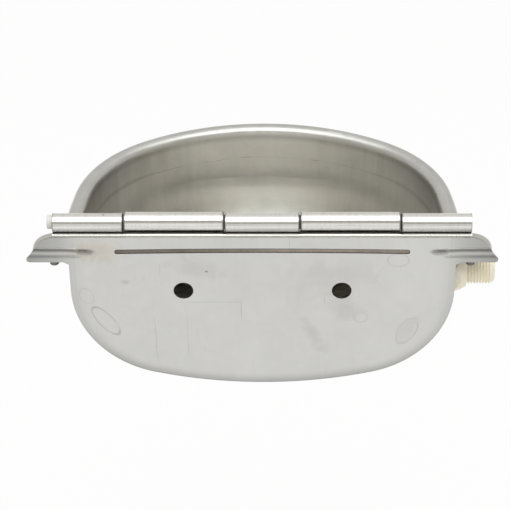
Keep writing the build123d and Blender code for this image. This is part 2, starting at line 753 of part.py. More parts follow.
def pivot_pin():
    x, z = pivot_point()
    half = arm_hub_width / 2 + cheek_play + cheek_sheet
    pin = rod_y(pivot_diameter / 2, valve_y - half - 0.8, valve_y + half, x, z)
    head = rod_y(pivot_head_r, valve_y + half, valve_y + half + pivot_head, x, z)
    return pin + head


def float_start():
    """X of the float's near end with the arm level."""
    return pivot_point()[0] - arm_length - float_nut_height - float_boss


def float_locknut():
    x, z = pivot_point()
    end = x - arm_length
    nut = Pos(0, valve_y, z) * hexagon_x(float_nut_flats, end - float_nut_height, end)
    return drooped(nut - rod_x(arm_stud_r + nut_play, end - 9, end + 1, valve_y, z))


def float_body():
    _, z = pivot_point()
    near = float_start()
    far = near - float_length
    shell = rod_x(float_r, far, near, valve_y, z)
    shell = shell.fillet(float_end_r, [e for e in shell.edges() if e.geom_type == GeomType.CIRCLE])
    ridge = rod_x(float_r + 0.6, (near + far) / 2 - 0.8, (near + far) / 2 + 0.8, valve_y, z)
    boss = rod_x(float_boss_r, near - 1, near + float_boss, valve_y, z)
    bore = rod_x(arm_stud_r + nut_play, near - arm_stud, near + float_boss + 1, valve_y, z)
    return drooped(shell + ridge + boss - bore)


# ---------------------------------------------------------------- write the parts

parts = {
    "bowl_body": bowl_body(),
    "back_plate": back_plate(),
    "seam_weld": seam_weld(),
    "ear_studs": ear_studs(),
    "ear_washers": ear_washers(),
    "ear_nuts": ear_nuts(),
    "hinge_leaf": hinge_leaf(),
    "fixed_knuckle_left": fixed_tube(0),
    "fixed_knuckle_middle": fixed_tube(2),
    "fixed_knuckle_right": fixed_tube(4),
    "knuckle_welds": knuckle_welds(),
    "hinge_pin": hinge_pin(),
    "cover_knuckle_left": cover_tube(1),
    "cover_knuckle_right": cover_tube(3),
    "cover_panel": cover_panel(),
    "valve_body": valve_body(),
    "orifice_seat": orifice_seat(),
    "inner_gasket": inner_gasket(),
    "outer_washer": outer_washer(),
    "inlet_locknut": inlet_locknut(),
    "plunger": plunger(),
    "plunger_seal": plunger_disc(),
    "float_arm": float_arm(),
    "pivot_pin": pivot_pin(),
    "float_locknut": float_locknut(),
    "float": float_body(),
}

os.makedirs("parts", exist_ok=True)
for name, shape in parts.items():
    export_step(shape, f"parts/{name}.step")
print(f"{len(parts)} parts; plunger travel {plunger_travel:.3f}, pivot {pivot_point()}, leaf front {leaf_front():.2f}")
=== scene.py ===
import bpy
from math import cos, pi, radians, sin
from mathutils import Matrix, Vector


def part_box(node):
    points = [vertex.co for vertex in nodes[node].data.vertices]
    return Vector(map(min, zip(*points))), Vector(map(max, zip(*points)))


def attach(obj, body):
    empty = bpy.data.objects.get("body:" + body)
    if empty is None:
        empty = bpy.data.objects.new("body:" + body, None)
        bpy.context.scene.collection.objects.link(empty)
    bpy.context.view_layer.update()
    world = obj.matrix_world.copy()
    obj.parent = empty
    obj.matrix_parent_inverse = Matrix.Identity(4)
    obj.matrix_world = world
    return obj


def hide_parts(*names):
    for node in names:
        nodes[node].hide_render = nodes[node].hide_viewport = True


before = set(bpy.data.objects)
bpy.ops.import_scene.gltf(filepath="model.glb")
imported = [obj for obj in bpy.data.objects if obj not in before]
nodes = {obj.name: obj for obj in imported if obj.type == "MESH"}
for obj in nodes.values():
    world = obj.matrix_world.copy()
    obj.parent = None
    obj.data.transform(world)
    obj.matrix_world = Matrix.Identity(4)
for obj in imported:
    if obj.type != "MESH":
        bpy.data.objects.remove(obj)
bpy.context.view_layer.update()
for part in nodes.values():
    part.select_set(False)


# ---- Camera
# Stands behind the bowl, where the wall would be, and looks down over the hinge into it.

rise, distance = radians(35.0), 1.1
aim = (0.0119, -0.0017, 0.0276)
bpy.ops.object.camera_add(location=(aim[0], aim[1] - distance * cos(rise), aim[2] + distance * sin(rise)),
                          rotation=(pi / 2 - rise, 0.0, 0.0))
camera = bpy.context.object
camera.name = "camera"
camera.data.lens = 130.0
camera.data.sensor_width = 36.0
camera.data.shift_x = -0.0533
camera.data.clip_start = 0.05
bpy.context.scene.camera = camera


# ---- Floor, sky and lamps
# Pale studio: a wide white floor well below the hung bowl, a soft sky, one long soft box above.

world = bpy.data.worlds.new("sky")
bpy.context.scene.world = world
world.use_nodes = True
sky = world.node_tree
sky.nodes.clear()


def sky_node(kind, inputs=(), output=0, **settings):
    """A node of the sky with its settings and inputs; returns one of its outputs."""
    node = sky.nodes.new(kind)
    for key, value in settings.items():
        setattr(node, key, value)
    for key, value in dict(inputs).items():
        if isinstance(value, bpy.types.NodeSocket):
            sky.links.new(value, node.inputs[key])
        else:
            node.inputs[key].default_value = value
    return node.outputs[output]


direction = sky_node("ShaderNodeTexCoord", output="Generated")
depth = sky_node("ShaderNodeSeparateXYZ", {0: direction}, output="Y")
height = sky_node("ShaderNodeSeparateXYZ", {0: direction}, output="Z")


def sky_ramp(stops):
    """Grey by height, from straight down to straight up, warmer where it is darker."""
    ramp = sky.nodes.new("ShaderNodeValToRGB")
    sky.links.new(height, ramp.inputs[0])
    for spot, _ in stops[1:-1]:
        ramp.color_ramp.elements.new(spot)
    for element, (spot, level) in zip(ramp.color_ramp.elements, stops):
        element.position = spot
        element.color = (level, level * 0.995, level * (0.90 + 0.085 * level), 1.0)
    return ramp.outputs[0]


wall_side = sky_ramp(((0.0, 0.83), (0.12, 0.80), (0.29, 0.52), (0.42, 0.36), (0.54, 0.38), (0.66, 0.72),
                      (1.0, 1.0)))
open_side = sky_ramp(((0.0, 0.75), (0.57, 0.70), (0.85, 0.80), (1.0, 1.0)))
side_share = sky_node("ShaderNodeMapRange", {0: depth, 1: -0.3, 2: 0.3})
air = sky_node("ShaderNodeMix", {0: side_share, 6: wall_side, 7: open_side}, output=2, data_type="RGBA")
air = sky_node("ShaderNodeBackground", {"Color": air, "Strength": 1.0})
sky.links.new(air, sky.nodes.new("ShaderNodeOutputWorld").inputs["Surface"])

floor_width = 12.0
floor_z = -0.42
bpy.ops.mesh.primitive_plane_add(size=floor_width, location=(0.0, 0.0, 0.0))
floor = bpy.context.object
floor.name = "floor"
bpy.ops.object.mode_set(mode="EDIT")
bpy.ops.transform.translate(value=(0.0, 0.0, floor_z))
bpy.ops.object.mode_set(mode="OBJECT")

# Seen directly or in a reflection the floor is nearly all glow; for any other light it is plain paint.
glow_share = 0.93
floor_paint = bpy.data.materials.new("floor_white")
floor_paint.use_nodes = True
floor_tree = floor_paint.node_tree
floor_shader = floor_tree.nodes["Principled BSDF"]
floor_shader.inputs["Base Color"].default_value = (0.86, 0.86, 0.86, 1.0)
floor_shader.inputs["Roughness"].default_value = 0.9
floor_path = floor_tree.nodes.new("ShaderNodeLightPath")
floor_share = floor_tree.nodes.new("ShaderNodeMath")
floor_share.operation = "MULTIPLY"
floor_share.inputs[1].default_value = glow_share
floor_rays = floor_path.outputs["Is Camera Ray"]
for kind in ("Is Glossy Ray", "Is Transmission Ray"):
    either = floor_tree.nodes.new("ShaderNodeMath")
    either.operation = "MAXIMUM"
    floor_tree.links.new(floor_rays, either.inputs[0])
    floor_tree.links.new(floor_path.outputs[kind], either.inputs[1])
    floor_rays = either.outputs[0]
floor_glow = floor_tree.nodes.new("ShaderNodeEmission")
floor_mix = floor_tree.nodes.new("ShaderNodeMixShader")
floor_tree.links.new(floor_rays, floor_share.inputs[0])
floor_tree.links.new(floor_share.outputs[0], floor_mix.inputs[0])
floor_tree.links.new(floor_shader.outputs[0], floor_mix.inputs[1])
floor_tree.links.new(floor_glow.outputs[0], floor_mix.inputs[2])
floor_tree.links.new(floor_mix.outputs[0], floor_tree.nodes["Material Output"].inputs[0])
floor.data.materials.append(floor_paint)

bpy.ops.object.light_add(type="AREA", location=(0.0, -0.43, 1.33), rotation=(radians(18), 0.0, 0.0))
lamp = bpy.context.object
lamp.name = "soft_box"
lamp.data.size = 1.25
lamp.data.energy = 11.0


# ---- Bowl
# Deep-drawn from 1 mm stainless sheet in one piece, with the rim rolled over and two lugs left at its
# back corners. Drawing has left clouds, faint run marks and one draw line. Light is painted on the inside:
# it is painted lighter and warmer than the outside and lighter still at the bottom middle, and painted
# shade darkens it towards its sides, low down away from the middle and in the groove against the plate.

class Level:
    """A socket of a finish, so that shader maths reads as plain sums."""

    def __init__(self, finish, socket):
        self.finish = finish
        self.socket = socket

    def sum(self, operation, first, second=0.0):
        return self.finish.add("ShaderNodeMath", {0: first, 1: second}, operation=operation)

    def __add__(self, other):
        return self.sum("ADD", self, other)

    __radd__ = __add__

    def __sub__(self, other):
        return self.sum("SUBTRACT", self, other)

    def __rsub__(self, other):
        return self.sum("SUBTRACT", other, self)

    def __mul__(self, other):
        return self.sum("MULTIPLY", self, other)

    __rmul__ = __mul__

    def __truediv__(self, other):
        return self.sum("DIVIDE", self, other)

    def __pow__(self, other):
        return self.sum("POWER", self, other)

    def __abs__(self):
        return self.sum("ABSOLUTE", self)

    def least(self, other):
        return self.sum("MINIMUM", self, other)

    def clip(self):
        return self.finish.add("ShaderNodeClamp", {0: self})


class Finish:
    """A material: constants go on the shader, and what varies is built from nodes. x, y and z are in mm."""

    metres_to_mm = 1000.0

    def __init__(self, name, **surface):
        self.material = bpy.data.materials.new(name)
        self.material.use_nodes = True
        self.tree = self.material.node_tree
        self.shader = self.tree.nodes["Principled BSDF"]
        for key, value in surface.items():
            self.shader.inputs[key.replace("_", " ")].default_value = value
        self.place = self.add("ShaderNodeTexCoord", output="Object")
        self.x, self.y, self.z = (
            self.add("ShaderNodeSeparateXYZ", {0: self.place}, output=axis) * self.metres_to_mm
            for axis in range(3))

    def add(self, kind, inputs=(), output=0, stops=(), **settings):
        """A node with its settings, a ramp's stops and its inputs; returns one of its outputs."""
        node = self.tree.nodes.new(kind)
        for key, value in settings.items():
            setattr(node, key, value)
        for key, value in dict(inputs).items():
            if isinstance(value, Level):
                self.tree.links.new(value.socket, node.inputs[key])
            else:
                node.inputs[key].default_value = value
        if stops:
            for spot, _ in stops[2:]:
                node.color_ramp.elements.new(spot)
            for element, (spot, level) in zip(node.color_ramp.elements, sorted(stops)):
                element.position = spot
                element.color = (level, level, level, 1.0)
        return Level(self, node.outputs[output])

    def noise(self, scale, detail=2.0, stretch=(1.0, 1.0, 1.0), shift=(0.0, 0.0, 0.0), twist=0.0):
        """Noise around 0.5; a larger stretch makes it finer along that axis."""
        spot = self.add("ShaderNodeMapping", {"Vector": self.place, "Location": shift, "Scale": stretch})
        return self.add("ShaderNodeTexNoise", {"Vector": spot, "Scale": scale, "Detail": detail,
                                               "Distortion": twist}, output="Fac")

    def step(self, level, low, high):
        """0 at low, 1 at high."""
        return ((level - low) / (high - low)).clip()

    def line(self, level, at, width):
        """1 on a line where the level is at this value, 0 outside its width."""
        return 1.0 - (abs(level - at) / width).clip()

    def blend(self, share, first, second, how="MIX"):
        """The first colour at share 0, the second at share 1."""
        return self.add("ShaderNodeMix", {0: share, 6: first, 7: second}, output=2,
                        data_type="RGBA", blend_type=how)

    def tinted(self, colour, level):
        """One colour, lighter and darker by the level."""
        grey = self.add("ShaderNodeCombineColor", {0: level, 1: level, 2: level})
        return self.blend(1.0, (*colour, 1.0), grey, how="MULTIPLY")

    def darken(self, level, *marks):
        """The level after each mark has taken its share away."""
        for mark, share in marks:
            level = level * (1.0 - mark * share)
        return level

    def feed(self, **links):
        """Link levels to the shader's sockets, whose names are written with underscores."""
        for key, level in links.items():
            self.tree.links.new(level.socket, self.shader.inputs[key.replace("_", " ")])

    def bump(self, height, depth, strength=1.0, under=None):
        """A surface that rises with the height, by this depth in metres, on top of another bump."""
        inputs = {"Height": height, "Distance": depth, "Strength": strength}
        if under:
            inputs["Normal"] = under
        return self.add("ShaderNodeBump", inputs)

    def cover(self, *pieces):
        """Give the pieces this finish and no other."""
        for piece in pieces:
            piece.data.materials.clear()
            piece.data.materials.append(self.material)


drawn = Finish("steel_drawn", Metallic=0.94)
cloud = drawn.noise(22.0, detail=3.0, twist=0.6)
blotch = drawn.noise(70.0, detail=4.0, shift=(3.0, 1.0, 2.0), twist=1.0)
run = drawn.noise(30.0, detail=4.0, stretch=(6.0, 6.0, 0.6))
grain = drawn.noise(500.0, detail=2.0, stretch=(0.4, 1.0, 1.0))

# Where things are on the bowl: heights and distances from its middle, in mm.
draw_line_z = 8.2
under_rim_z = 24.0
basin_x = 4.0
from_middle = abs(drawn.x)
from_basin = abs(drawn.x - basin_x)
inside = drawn.step(drawn.z, 29.0, 24.5)
lip = drawn.step(drawn.z, 27.0, 29.5)
corner = drawn.step(from_middle, 66.0, 88.0) * inside
# Painted shade: the inside darkens towards its sides, next to the near walls.
side_shade = drawn.step(from_middle, 45.0, 100.0) * inside
smear = drawn.step(from_middle, 30.0, 58.0) * inside

# The draw line is thin along the wall and spreads into a patch in the two corners.
wavy = drawn.z + (cloud - 0.5) * 3.0
broken = drawn.step(blotch, 0.42, 0.6) * (1.0 - corner) * inside + corner * 0.6
draw_line = drawn.line(wavy, draw_line_z, 0.45 + corner * (0.8 + blotch * 2.4)) * broken
under_rim = drawn.line(drawn.z, under_rim_z, 3.4) * (0.5 + blotch * 0.9) * inside
# Painted shade in the groove where the lug's rolled edge meets the plate.
joint_shade = drawn.step(drawn.y, 2.4, 1.1) * drawn.step(drawn.z, 24.0, 26.0)
shaded = drawn.step(from_basin, 16.0, 60.0) * drawn.step(drawn.z, 0.0, -24.0)
deep = 1.05 - drawn.step(drawn.z, 2.0, 20.0) * inside * 0.19
level = 1.0 + (cloud - 0.5) * 0.26 + (blotch - 0.5) * 0.20
level = level + (run - 0.5) * (0.06 * inside + smear * 0.26) + (grain - 0.5) * 0.06
level = drawn.darken(level * deep, (lip, 0.10), (shaded, 0.30), (side_shade, 0.12), (draw_line, 0.35),
                     (under_rim, 0.26), (joint_shade, 0.75))

bare_steel = (0.60, 0.598, 0.575, 1.0)
# Painted light: the inside is painted lighter and warmer than the same steel outside.
inside_light_tint = (0.765, 0.75, 0.70, 1.0)
stained = (0.70, 0.67, 0.60, 1.0)
basin_light_tint = (0.82, 0.825, 0.80, 1.0)
# Painted light: the bottom middle of the inside is painted lighter, where light from above falls.
basin_light = drawn.step(drawn.z, -10.0, -28.0) * drawn.step(from_basin, 52.0, 12.0)
shade = drawn.blend(inside, bare_steel, inside_light_tint)
shade = drawn.blend(drawn.step(blotch, 0.5, 0.8) * inside, shade, stained)
shade = drawn.blend(basin_light, shade, basin_light_tint)
grey = drawn.add("ShaderNodeCombineColor", {0: level, 1: level, 2: level})
swell = drawn.bump(cloud, 0.0009, 0.6)
drawn.feed(Base_Color=drawn.blend(1.0, shade, grey, how="MULTIPLY"),
           Roughness=0.34 + lip * 0.10 + (blotch - 0.5) * 0.12 + (grain - 0.5) * 0.10,
           Normal=drawn.bump(grain, 0.00002, 0.4, under=swell))
drawn.cover(nodes["bowl_body"])


# ---- Back plate
# Flat 1 mm sheet cut with its two ears, folded over the bowl's flange all round and pressed with a bead
# in each ear. It keeps the mill's dull finish under haze, finger smears, fine scratches and dried rings.
# Shade is painted along its lower edge, over its ears and round each bead, and a highlight on each bead.

plate = Finish("steel_plate", Metallic=0.94)
cloud = plate.noise(18.0, detail=3.0, twist=0.8)
blotch = plate.noise(60.0, detail=4.0, shift=(1.0, 5.0, 2.0), twist=1.5)
grain = plate.noise(420.0, detail=3.0, stretch=(1.0, 1.0, 0.15))
side = abs(plate.x)

# Distance in from the plate's edge: one large arc along the bottom runs into an arc at each corner.
edge_r, edge_centre_z = 280.0, 208.2
corner_r, corner_x, corner_z = 64.5, 52.0, -0.93
meeting_slope = 0.2487
crown = edge_r - (plate.x ** 2.0 + (plate.z - edge_centre_z) ** 2.0) ** 0.5
corner = corner_r - ((side - corner_x) ** 2.0 + (plate.z - corner_z).least(0.0) ** 2.0) ** 0.5
past_toe = plate.step(side - (edge_centre_z - plate.z) * meeting_slope, -0.5, 0.5)
border = crown * (1.0 - past_toe) + corner * past_toe
low = plate.step(plate.z, -5.0, -55.0)
# Painted shade and painted reflection: the lower part of the plate darkens towards its edge, where it turns
# under.
edge_shade_width = 8.0
painted_edge_shade = plate.add("ShaderNodeValToRGB", {0: border / edge_shade_width}, stops=(
    (0.0, 0.42), (1.0, 1.0), (0.1, 0.58), (0.22, 0.70), (0.4, 0.81), (0.62, 0.90), (0.85, 0.97)))
edge_line = plate.line(border, 3.6, 0.7) * 0.05


def oval(x, z, a, b, tilt):
    """1.0 on an oval's line, less inside it."""
    across = (plate.x - x) * cos(tilt) + (plate.z - z) * sin(tilt)
    up = (plate.z - z) * cos(tilt) - (plate.x - x) * sin(tilt)
    return ((across / a) ** 2.0 + (up / b) ** 2.0) ** 0.5


# Dried rings, then smears: middle in X and Z, two half-widths, tilt, a ring's line width, and strength.
stain = 0.0
for x, z, a, b, tilt, width, depth in (
        (-96.0, -23.0, 4.5, 12.5, 0.62, 0.12, 0.11),
        (-107.0, -4.0, 4.0, 6.0, 0.4, 0.16, 0.05),
        (88.5, -31.0, 5.5, 11.0, -0.45, 0.12, 0.08),
        (82.0, 22.5, 7.0, 5.0, 0.0, 0.12, 0.06),
        (60.0, -20.0, 4.5, 4.0, 0.0, 0.25, 0.04),
):
    ring = plate.line(oval(x, z, a, b, tilt) + (cloud - 0.5) * 0.7, 1.0, width)
    stain = stain + ring * (depth * 2.3) * plate.step(blotch, 0.30, 0.55)
for x, z, a, b, tilt, depth in (
        (31.0, -33.0, 5.0, 14.0, 0.45, 0.055),
        (51.0, -14.0, 9.0, 11.0, 0.6, 0.05),
        (88.5, -31.0, 5.5, 11.0, -0.45, 0.03),
        (-101.0, 29.0, 13.0, 7.0, 0.0, 0.06),
        (-83.0, 6.5, 3.4, 1.8, 0.0, 0.09),
        (-40.0, 16.0, 17.0, 6.0, -0.3, 0.045),
        (36.0, 12.0, 30.0, 9.0, 0.0, 0.03),
):
    spread = oval(x, z, a, b, tilt) + (blotch - 0.5) * 2.6 + (cloud - 0.5) * 1.2
    stain = stain + plate.step(spread, 1.25, 0.35) * depth * (0.6 + blotch * 1.8)
speck = plate.step(oval(-33.7, 14.2, 0.9, 0.6, 0.0), 1.2, 0.6) * 0.6

# Fine scratches in patches, two long ones, and an L-shaped mark beside one wall hole.
thread_line = plate.noise(26.0, detail=4.0, stretch=(34.0, 1.0, 1.6), shift=(2.0, 0.0, 1.0))
patchy = plate.noise(24.0, detail=1.0, shift=(7.0, 2.0, 4.0))
scratches = plate.step(thread_line, 0.66, 0.74) * plate.step(patchy, 0.45, 0.6) * 0.26
cross_line = plate.noise(30.0, detail=4.0, stretch=(0.6, 1.0, 40.0), shift=(5.0, 0.0, 3.0))
scratches = scratches + plate.step(cross_line, 0.70, 0.78) * plate.step(patchy, 0.5, 0.35) * 0.14
bent_x = plate.x + (cloud - 0.5) * 6.0
first_reach = plate.step(abs(plate.z + 38.0), 20.0, 14.0)
second_reach = plate.step(abs(plate.z + 36.0), 18.0, 12.0)
long_scratch = plate.line(bent_x, -66.0, 0.35) * first_reach * 0.22
long_scratch = long_scratch + plate.line(bent_x, -46.0, 0.3) * second_reach * 0.18
wavy_z = plate.z + (cloud - 0.5) * 2.0
long_leg = plate.line(wavy_z, -8.5, 0.4) * plate.step(abs(plate.x + 32.0), 21.0, 18.0) * 0.17
short_leg = plate.line(plate.x, -13.0, 0.35) * plate.step(abs(plate.z + 15.0), 8.0, 5.0) * 0.17
angle_mark = long_leg + short_leg

# Ears: shade is painted above and below the pressed bead and at its inner end, and a highlight along the
# bead's back.
bead_top, bead_back, bead_foot, bead_start = 30.6, 28.5, 26.2, 105.5
ear = plate.step(side, 112.0, 121.0)
bead_z = plate.z + (blotch - 0.5) * 0.8
outward = plate.step(side, 112.0, 128.0)
top_z = bead_top - plate.step(side, 120.0, 106.0) * 1.0
shade_above_bead = plate.line(bead_z, top_z, 1.5) * plate.step(side, 100.5, 106.0) * 0.44
shade_below_bead = plate.line(bead_z, bead_foot, 1.9) * plate.step(side, 108.0, 113.0) * (0.30 + outward * 0.18)
pocket = (side - bead_start) ** 2.0 / 30.0 + (bead_z - 28.6) ** 2.0 / 4.0
bead_shade = shade_above_bead + shade_below_bead + plate.step(pocket, 1.3, 0.5) * 0.34
# Painted highlight along the bead's back.
bead_highlight = plate.line(bead_z, bead_back, 0.9) * outward * 0.22
# The ear's cut edge is darkened: its burr, and painted shade in the gap against the lug.
edge_burr_and_shade = plate.line(plate.y, 0.75, 0.3) * plate.step(side, 119.0, 122.0) * 0.6
# Painted shade: the ears grow darker outwards across the bead.
ear_shade = plate.step(side, 106.0, 142.0) * 0.38

level = 1.0 + (cloud - 0.5) * 0.12 + (blotch - 0.5) * 0.12 + (grain - 0.5) * 0.05
level = level * (1.0 - stain) * (1.0 - scratches - long_scratch - angle_mark)
level = level * (1.0 - speck) * (1.0 - edge_line)
level = level * (painted_edge_shade * low + (1.0 - low) * (1.0 - ear_shade))
level = level * (1.0 - ear * (0.02 + blotch * 0.14)) * (1.0 - edge_burr_and_shade) * (1.0 - bead_shade) * (1.0 + bead_highlight)

dull_steel = (0.648, 0.645, 0.622, 1.0)
rust_haze = (0.64, 0.60, 0.52, 1.0)
dried_water = (0.655, 0.625, 0.58, 1.0)
warm = plate.blend(plate.step(oval(-99.0, 29.0, 16.0, 9.0, 0.0), 1.2, 0.4) * 0.75, dull_steel, rust_haze)
warm = plate.blend((stain * 3.5).clip(), warm, dried_water)
grey = plate.add("ShaderNodeCombineColor", {0: level, 1: level, 2: level})
plate.feed(Base_Color=plate.blend(1.0, warm, grey, how="MULTIPLY"),
           Roughness=0.34 + (blotch - 0.5) * 0.10 + (grain - 0.5) * 0.08 + stain * 0.5,
           Normal=plate.bump(grain, 0.000015, 0.5, under=plate.bump(cloud, 0.0004, 0.5)))
plate.cover(nodes["back_plate"])


# ---- Hinge leaf and cover
# The leaf is an L of 1 mm sheet welded to the plate through its slot; the cover is one bent sheet that
# hangs from two hinge tubes. Both are hidden from the wall side apart from the leaf's folded top edge.

sheet = Finish("steel_sheet", Metallic=0.94)
cloud = sheet.noise(24.0, detail=3.0, twist=0.7)
grain = sheet.noise(60.0, detail=3.0, stretch=(1.0, 18.0, 18.0))
level = 1.0 + (cloud - 0.5) * 0.14 + (grain - 0.5) * 0.10
sheet.feed(Base_Color=sheet.tinted((0.64, 0.63, 0.60), level),
           Roughness=0.28 + (cloud - 0.5) * 0.12 + (grain - 0.5) * 0.10,
           Normal=sheet.bump(grain, 0.00002, 0.5))
sheet.cover(nodes["hinge_leaf"], nodes["cover_panel"], nodes["pivot_pin"])


# ---- Hinge tubes
# Five lengths of thin steel tube, cut square and polished round their girth. The two outer ones and the
# middle one are fixed, and the two long ones turn with the cover. Shade is painted into the gaps between
# their ends, and painted shade and dark reflection bands run along their lower side.

tube = Finish("steel_tube", Metallic=0.96)
ring = tube.noise(60.0, detail=3.0, stretch=(16.0, 1.2, 1.2))
along = tube.noise(40.0, detail=2.0, stretch=(0.8, 9.0, 9.0), shift=(2.0, 0.0, 0.0))
dent = tube.noise(26.0, detail=1.0, shift=(4.0, 2.0, 1.0))
inner_gap, outer_gap, hinge_end = 22.5, 82.5, 125.0
half = abs(tube.x)
from_gap = abs(half - inner_gap).least(abs(half - outer_gap)).least(abs(half - hinge_end) + 0.4)
# Painted shade in the gaps between the tube ends, which are also rougher there.
gap_shade = tube.step(from_gap + (ring - 0.5) * 0.8, 1.5, 0.5)
speckle = tube.step(tube.noise(240.0, detail=3.0), 0.68, 0.74) * 0.25

# How far a spot is above the hinge's axis, as seen from above and behind, and the painted shade and dark
# reflection bands below it.
axis_height, axis_depth = 46.1, 6.0
above = (tube.z - axis_height) * 0.82 + (tube.y - axis_depth) * 0.57 + (along - 0.5) * 1.4
under = tube.step(above, -3.0, -5.2) * 0.5
under = under + tube.line(above, -2.3, 0.55) * 0.22 + tube.line(above, 0.1, 0.7) * 0.12
level = 1.0 + (ring - 0.5) * 0.20 + (along - 0.5) * 0.16
level = tube.darken(level, (gap_shade, 0.8), (speckle, 1.0), (under, 1.0))
tube.feed(Base_Color=tube.tinted((0.80, 0.79, 0.75), level),
          Roughness=0.19 + (ring - 0.5) * 0.10 + gap_shade * 0.4,
          Normal=tube.bump(ring, 0.00002, 0.35, under=tube.bump(dent, 0.0004, 0.6)))
tube.cover(*(nodes[name] for name in nodes if "_knuckle_" in name))


# ---- Hinge pin
# One rod of turned white nylon, longer than the hinge at its left end. Its ends are pale; in the gaps
# between the tubes painted shade makes it nearly black. The valve's plunger is turned from the same nylon.

rod = Finish("nylon_white", Metallic=0.0, Subsurface_Weight=0.15, Subsurface_Scale=0.002)
turning = rod.noise(60.0, detail=2.0, stretch=(20.0, 1.0, 1.0))
half = abs(rod.x)
from_gap = abs(half - inner_gap).least(abs(half - outer_gap))
# Painted shade: the rod is darkened nearly black in the gaps between the tubes.
level = rod.darken(1.0 + (turning - 0.5) * 0.10, (rod.step(from_gap, 4.0, 2.0), 0.96))
rod.feed(Base_Color=rod.tinted((0.70, 0.71, 0.68), level), Roughness=0.40 + (turning - 0.5) * 0.2,
         Normal=rod.bump(turning, 0.00002, 0.4))
rod.cover(nodes["hinge_pin"], nodes["plunger"])


# ---- Seam weld
# The slot in the plate is filled by one run of weld onto the leaf behind it: a low bead of overlapping
# ripples, a little below the plate's face, left brown by the heat.

def begin(name, adding, **where):
    """Start a piece from a primitive at the given place."""
    bpy.ops.object.select_all(action="DESELECT")
    adding(**where)
    piece = bpy.context.object
    piece.name = name
    return piece


def settle(piece, smooth=30.0):
    """Apply the piece's modifiers and place, so that it sits at the origin, unturned and unscaled."""
    bpy.ops.object.select_all(action="DESELECT")
    piece.select_set(True)
    bpy.context.view_layer.objects.active = piece
    for modifier in list(piece.modifiers):
        bpy.ops.object.modifier_apply(modifier=modifier.name)
    bpy.ops.object.transform_apply(location=True, rotation=True, scale=True)
    bpy.ops.object.mode_set(mode="EDIT")
    bpy.ops.mesh.select_all(action="SELECT")
    bpy.ops.mesh.normals_make_consistent(inside=False)
    bpy.ops.object.mode_set(mode="OBJECT")
    bpy.ops.object.shade_smooth_by_angle(angle=radians(smooth))


def ripple_run(name, first, last, pitch, middle, half_size, fineness):
    """One weld run along X, in mm: overlapping flattened ripples, fused into a single bead."""
    count = round((last - first) / pitch)
    bead = begin(name, bpy.ops.mesh.primitive_uv_sphere_add, segments=16, ring_count=10, radius=0.001,
                 location=(0.0, 0.0, 0.0))
    bpy.ops.object.mode_set(mode="EDIT")
    bpy.ops.mesh.delete(type="VERT")
    for step in range(count + 1):
        x = first + (last - first) * step / count
        y, z = middle(x)
        swell = 1.0 + 0.05 * sin(step * 2.4) + 0.03 * sin(step * 0.7)
        bpy.ops.mesh.primitive_uv_sphere_add(segments=16, ring_count=10, radius=0.001,
                                             location=(x / 1000, y / 1000, z / 1000),
                                             scale=(half_size[0], half_size[1], half_size[2] * swell))
    bpy.ops.object.mode_set(mode="OBJECT")
    fuse = bead.modifiers.new("fuse", "REMESH")
    fuse.mode = "VOXEL"
    fuse.voxel_size = fineness / 1000
    ease = bead.modifiers.new("ease", "SMOOTH")
    ease.iterations = 2
    settle(bead, smooth=60.0)
    return bead


seam_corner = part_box("seam_weld")[1]
weld_end = seam_corner.x * 1000 - 1.5
arch_top = seam_corner.z * 1000 - 1.6
arch_fall = 0.9
weld_y = 0.78


def seam_middle(x):
    """The run follows the slot, which is a little lower at its ends."""
    return weld_y, arch_top - arch_fall * (x / weld_end) ** 2


seam = ripple_run("seam_bead", -weld_end, weld_end, pitch=1.35, middle=seam_middle,
                  half_size=(1.15, 0.62, 1.5), fineness=0.20)
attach(seam, "bowl")
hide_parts("seam_weld")
weld = Finish("steel_weld", Metallic=0.85)
heat = weld.noise(90.0, detail=3.0)
scale = weld.noise(500.0, detail=2.0, stretch=(1.0, 0.4, 0.4), shift=(1.0, 2.0, 0.0))
level = (1.0 + (heat - 0.5) * 0.7 + (scale - 0.5) * 0.5) * (1.0 - weld.step(weld.x, 5.0, -45.0) * 0.35)
weld.feed(Base_Color=weld.tinted((0.30, 0.265, 0.225), level), Roughness=0.42 + (scale - 0.5) * 0.3,
          Normal=weld.bump(scale, 0.00003, 0.5))
weld.cover(seam)


# ---- Tack welds of the fixed tubes
# Six short runs of weld, two to a tube, in the wedge between the fixed tubes and the leaf. They are on the
# side away from the wall, and brown like the seam.

low_corner, high_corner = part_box("knuckle_welds")
tack_y = (low_corner.y + high_corner.y) * 500
tack_z = low_corner.z * 1000 + 0.7
tack_length = 5.0


def tack_middle(x):
    """A tack is straight, so its middle is the same all along."""
    return tack_y, tack_z


tacks = []
for start in (-123.5, -89.0, -21.0, 16.0, 84.0, 118.5):
    tack = ripple_run(f"tack_weld_{len(tacks) + 1}", start, start + tack_length, pitch=1.2,
                      middle=tack_middle, half_size=(1.3, 1.3, 0.8), fineness=0.18)
    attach(tack, "bowl")
    tacks.append(tack)
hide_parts("knuckle_welds")
weld.cover(*tacks)


# ---- Studs, washers and nuts of the lugs
# Plain M6 steel fixings that pull each lug onto the tongue folded from the plate's ear. Their lower
# parts are painted dark as shade under the lugs.

fixing = Finish("steel_fixings", Metallic=0.95)
wear = fixing.noise(300.0, detail=3.0)
# Painted shade: the fixings darken low down, under the lugs.
level = (1.0 + (wear - 0.5) * 0.3) * (1.0 - fixing.step(fixing.z, 21.0, 17.5) * 0.75)
fixing.feed(Base_Color=fixing.tinted((0.66, 0.65, 0.62), level), Roughness=0.25 + (wear - 0.5) * 0.2)
fixing.cover(nodes["ear_studs"], nodes["ear_washers"], nodes["ear_nuts"])


